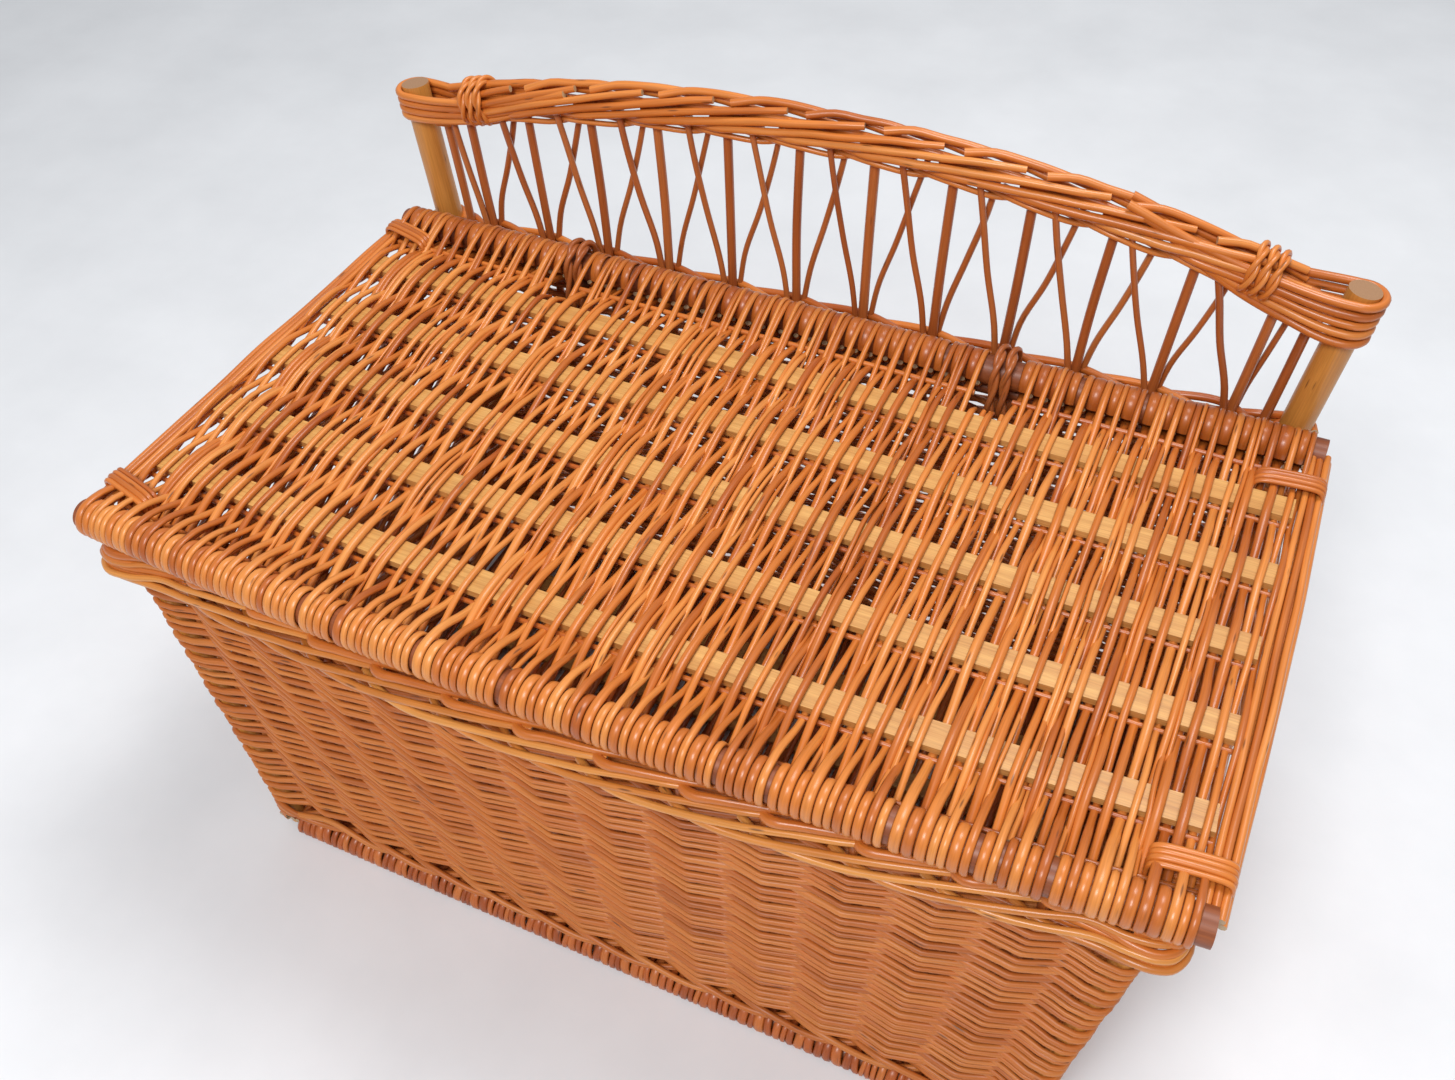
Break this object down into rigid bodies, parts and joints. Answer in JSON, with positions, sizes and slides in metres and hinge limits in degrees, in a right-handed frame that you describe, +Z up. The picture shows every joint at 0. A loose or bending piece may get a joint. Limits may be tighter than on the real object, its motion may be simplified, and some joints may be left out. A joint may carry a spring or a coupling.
{
  "type": "wicker storage bench with hinged lid",
  "caption": "Tapered woven willow chest with a slatted woven lid hinged on willow loops and a low arched backrest between two posts.",
  "frame": {"origin": "on the floor, at the middle of the bench's length and depth", "axes": "+Z up, +X to the right of someone facing the front, the front faces -Y"},
  "size_m": [0.7622, 0.4647, 0.5028],
  "materials": {
    "willow": "varnished",
    "willow_golden": "varnished",
    "willow_dark": "varnished",
    "slat_wood": "satin varnish",
    "post_wood": "satin varnish",
    "bark_stick": "varnished"
  },
  "bodies": {
    "basket": {"back_post_left": "post_wood", "back_post_right": "post_wood", "back_uprights": "willow_dark", "back_wall_weave": "willow", "backrest_cross_rods": "willow_dark", "backrest_foot_rods": "willow_dark", "backrest_rail": "willow_golden", "base_back_bar": "willow", "base_front_bar": "willow", "base_side_bar_left": "willow", "base_side_bar_right": "willow", "base_slats": "slat_wood", "base_weave": "willow", "corner_stick_left": "post_wood", "corner_stick_right": "post_wood", "front_stakes": "willow", "front_wall_weave": "willow", "hinge_loop_left": "willow", "hinge_loop_right": "willow", "left_stakes": "willow", "left_wall_weave": "willow", "rail_end_wrap_left": "willow_golden", "rail_end_wrap_right": "willow_golden", "rail_tie_left": "willow_golden", "rail_tie_right": "willow_golden", "right_stakes": "willow", "right_wall_weave": "willow", "rim_border_back": "willow_golden", "rim_border_front": "willow_golden", "rim_border_left": "willow_golden", "rim_border_right": "willow_golden", "rim_hinge_rod": "willow", "rim_wrap_left": "willow", "rim_wrap_right": "willow", "waling_back": "willow", "waling_front": "willow", "waling_left": "willow", "waling_right": "willow"},
    "lid": {"lid_back_bar": "bark_stick", "lid_back_wraps": "willow_dark", "lid_front_bar": "bark_stick", "lid_front_wraps": "willow", "lid_side_rods_left": "willow", "lid_side_rods_right": "willow", "lid_slat_1": "slat_wood", "lid_slat_2": "slat_wood", "lid_slat_3": "slat_wood", "lid_slat_4": "slat_wood", "lid_slat_5": "slat_wood", "lid_thin_rods": "willow", "lid_tie_back_left": "willow", "lid_tie_back_right": "willow", "lid_tie_front_left": "willow", "lid_tie_front_right": "willow", "lid_weave": "willow"}
  },
  "joints": [
    {"name": "lid_hinge", "type": "hinge", "parent": "basket", "child": "lid", "pos_m": [0, 0.1822, 0.344], "axis": [-1, 0, 0], "range_deg": [0, 93]}
  ]
}
